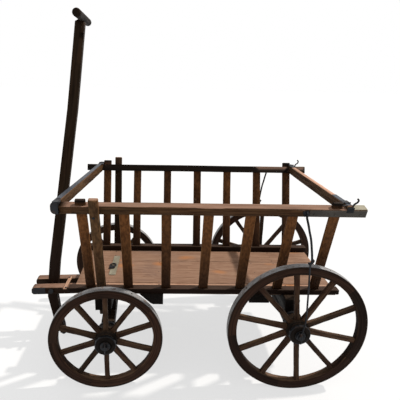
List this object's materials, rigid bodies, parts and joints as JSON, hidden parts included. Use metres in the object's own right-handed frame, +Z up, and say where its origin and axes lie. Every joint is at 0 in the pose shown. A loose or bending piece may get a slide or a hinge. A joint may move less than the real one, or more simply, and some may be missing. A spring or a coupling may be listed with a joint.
{
  "type": "four-wheeled ladder hand cart",
  "caption": "Weathered wooden hand cart with leaning slatted sides, spoked iron-tyred wheels, a steered front carriage and an upright drawbar with a cross handle.",
  "frame": {"origin": "on the ground, under the middle of the overall box", "axes": "+Z up, the cart's front and drawbar towards -X, its left side towards -Y"},
  "size_m": [1.4301, 0.789, 1.482],
  "materials": {
    "stained_ash": "dark stained, weathered and worn timber",
    "dark_timber": "oil-blackened weathered timber",
    "floor_boards": "bare sun-bleached boards",
    "wrought_iron": "forged iron, dull and lightly rusted",
    "tyre_iron": "iron tyre worn bright on the tread and rusted at its edges"
  },
  "bodies": {
    "wagon": {"floor_planks": "floor_boards", "cross_battens": "dark_timber", "front_bolster": "dark_timber", "rear_bolster": "dark_timber", "rear_axle_bed": "dark_timber", "rear_axle": "wrought_iron", "reach_pole": "dark_timber", "kingpin": "wrought_iron", "kingpin_plate": "wrought_iron", "upper_rub_plate": "wrought_iron", "left_bottom_rail": "stained_ash", "right_bottom_rail": "stained_ash", "left_slats": "stained_ash", "right_slats": "stained_ash", "left_top_rail": "stained_ash", "right_top_rail": "stained_ash", "front_cross_rail": "stained_ash", "rear_cross_rail": "stained_ash", "front_corner_irons": "wrought_iron", "rear_corner_irons": "wrought_iron", "left_stake": "stained_ash", "right_stake": "stained_ash", "left_stay": "wrought_iron", "right_stay": "wrought_iron"},
    "front_carriage": {"front_axle_bed": "dark_timber", "front_axle": "wrought_iron", "turning_bolster": "dark_timber", "left_hound": "stained_ash", "right_hound": "stained_ash", "hound_tie": "floor_boards", "hound_shoe": "wrought_iron", "lower_rub_plate": "wrought_iron", "drawbar_bolt": "wrought_iron"},
    "drawbar": {"drawbar_pole": "stained_ash", "drawbar_handle": "stained_ash", "drawbar_knob": "wrought_iron"},
    "front_left_wheel": {"front_left_nave": "dark_timber", "front_left_spokes": "stained_ash", "front_left_felloes": "stained_ash", "front_left_tyre": "tyre_iron", "front_left_bands": "wrought_iron"},
    "front_right_wheel": {"front_right_nave": "dark_timber", "front_right_spokes": "stained_ash", "front_right_felloes": "stained_ash", "front_right_tyre": "tyre_iron", "front_right_bands": "wrought_iron"},
    "rear_left_wheel": {"rear_left_nave": "dark_timber", "rear_left_spokes": "stained_ash", "rear_left_felloes": "stained_ash", "rear_left_tyre": "tyre_iron", "rear_left_bands": "wrought_iron"},
    "rear_right_wheel": {"rear_right_nave": "dark_timber", "rear_right_spokes": "stained_ash", "rear_right_felloes": "stained_ash", "rear_right_tyre": "tyre_iron", "rear_right_bands": "wrought_iron"}
  },
  "joints": [
    {"name": "steering", "type": "hinge", "parent": "wagon", "child": "front_carriage", "pos_m": [-0.34894, 0, 0.3], "axis": [0, 0, 1], "range_deg": [-24.7, 17.3]},
    {"name": "drawbar_lift", "type": "hinge", "parent": "front_carriage", "child": "drawbar", "pos_m": [-0.62437, -0.01781, 0.2812], "axis": [0.0645, -0.9979, 0], "range_deg": [-2, 60]},
    {"name": "front_left_wheel_spin", "type": "hinge", "parent": "front_carriage", "child": "front_left_wheel", "pos_m": [-0.32754, -0.33091, 0.226], "axis": [-0.0645, 0.9979, 0], "continuous": true},
    {"name": "front_right_wheel_spin", "type": "hinge", "parent": "front_carriage", "child": "front_right_wheel", "pos_m": [-0.37034, 0.33091, 0.226], "axis": [-0.0645, 0.9979, 0], "continuous": true},
    {"name": "rear_left_wheel_spin", "type": "hinge", "parent": "wagon", "child": "rear_left_wheel", "pos_m": [0.43506, -0.3316, 0.28], "axis": [0, 1, 0], "continuous": true},
    {"name": "rear_right_wheel_spin", "type": "hinge", "parent": "wagon", "child": "rear_right_wheel", "pos_m": [0.43506, 0.3316, 0.28], "axis": [0, 1, 0], "continuous": true}
  ]
}
